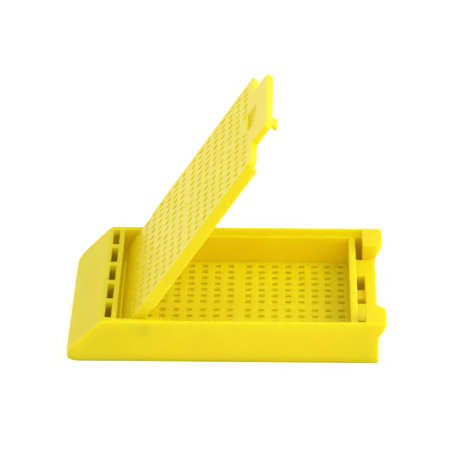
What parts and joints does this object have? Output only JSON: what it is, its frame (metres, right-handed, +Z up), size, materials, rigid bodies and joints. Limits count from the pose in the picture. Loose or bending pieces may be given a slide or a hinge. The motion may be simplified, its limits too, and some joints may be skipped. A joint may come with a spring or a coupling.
{
  "type": "tissue cassette",
  "caption": "Flat perforated tissue cassette: a shallow tray with a sloped writing end, and a perforated lid that swings on side pins and latches at the other end.",
  "frame": {"origin": "under the middle of the base, on the surface it stands on", "axes": "+X from the writing slope to the ears, +Y to the side, +Z up; the lid is open at rest"},
  "size_m": [0.041, 0.0286, 0.031],
  "materials": {
    "base_plastic": "satin moulded acetal, yellow",
    "lid_plastic": "satin moulded acetal, yellow"
  },
  "bodies": {
    "base": {"base": "base_plastic"},
    "lid": {"lid": "lid_plastic"}
  },
  "joints": [
    {"name": "lid_hinge", "type": "hinge", "parent": "base", "child": "lid", "pos_m": [-0.0106, 0, 0.0044], "axis": [0, -1, 0], "range_deg": [-56, 69]}
  ]
}
